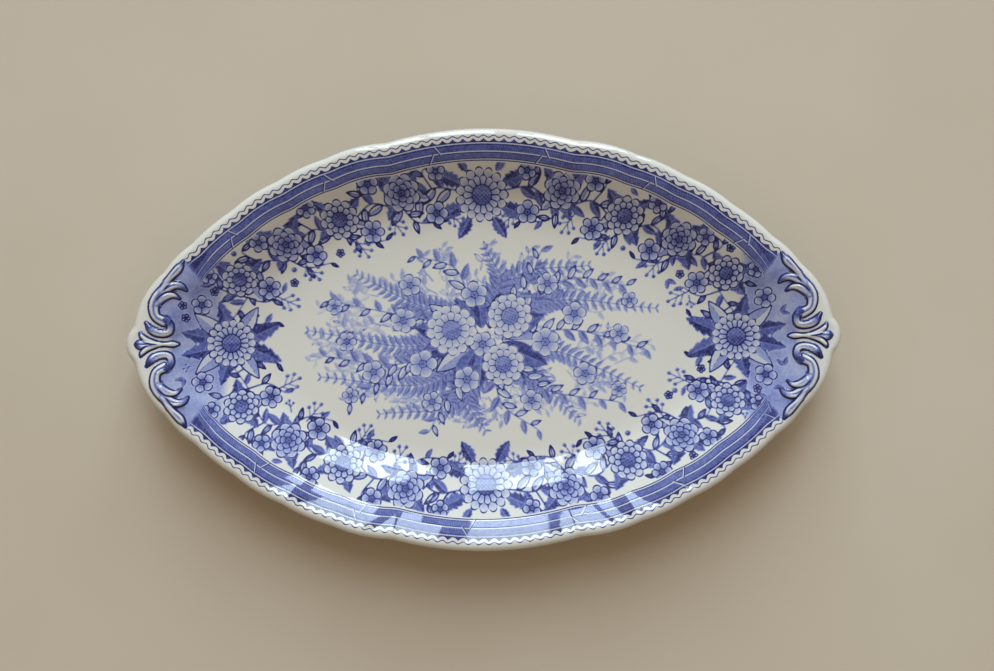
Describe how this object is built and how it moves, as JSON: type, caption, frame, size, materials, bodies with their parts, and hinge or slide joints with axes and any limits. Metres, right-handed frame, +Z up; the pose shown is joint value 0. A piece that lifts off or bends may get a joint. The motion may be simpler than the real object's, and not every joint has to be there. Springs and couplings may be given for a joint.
{
  "type": "appetizer dish",
  "caption": "Pointed-oval serving dish in blue and white glazed earthenware, with a lobed rim, scroll relief at the tips, a flat well and an oval foot.",
  "frame": {"origin": "middle of the foot's standing face", "axes": "+X from tip to tip, +Y across the dish, +Z up out of the well"},
  "size_m": [0.2398, 0.1418, 0.0273],
  "materials": {
    "printed_glaze": "clear gloss glaze over a cobalt blue print on cream-white earthenware",
    "relief_glaze": "clear gloss glaze over moulded relief shaded in cobalt blue",
    "foot_glaze": "clear gloss glaze, worn to bare clay on the standing face"
  },
  "bodies": {
    "root": {"dish_body": "printed_glaze", "foot_ring": "foot_glaze", "scroll_left_upper": "relief_glaze", "scroll_left_lower": "relief_glaze", "scroll_right_upper": "relief_glaze", "scroll_right_lower": "relief_glaze", "palmette_left": "relief_glaze", "palmette_right": "relief_glaze"}
  },
  "joints": []
}
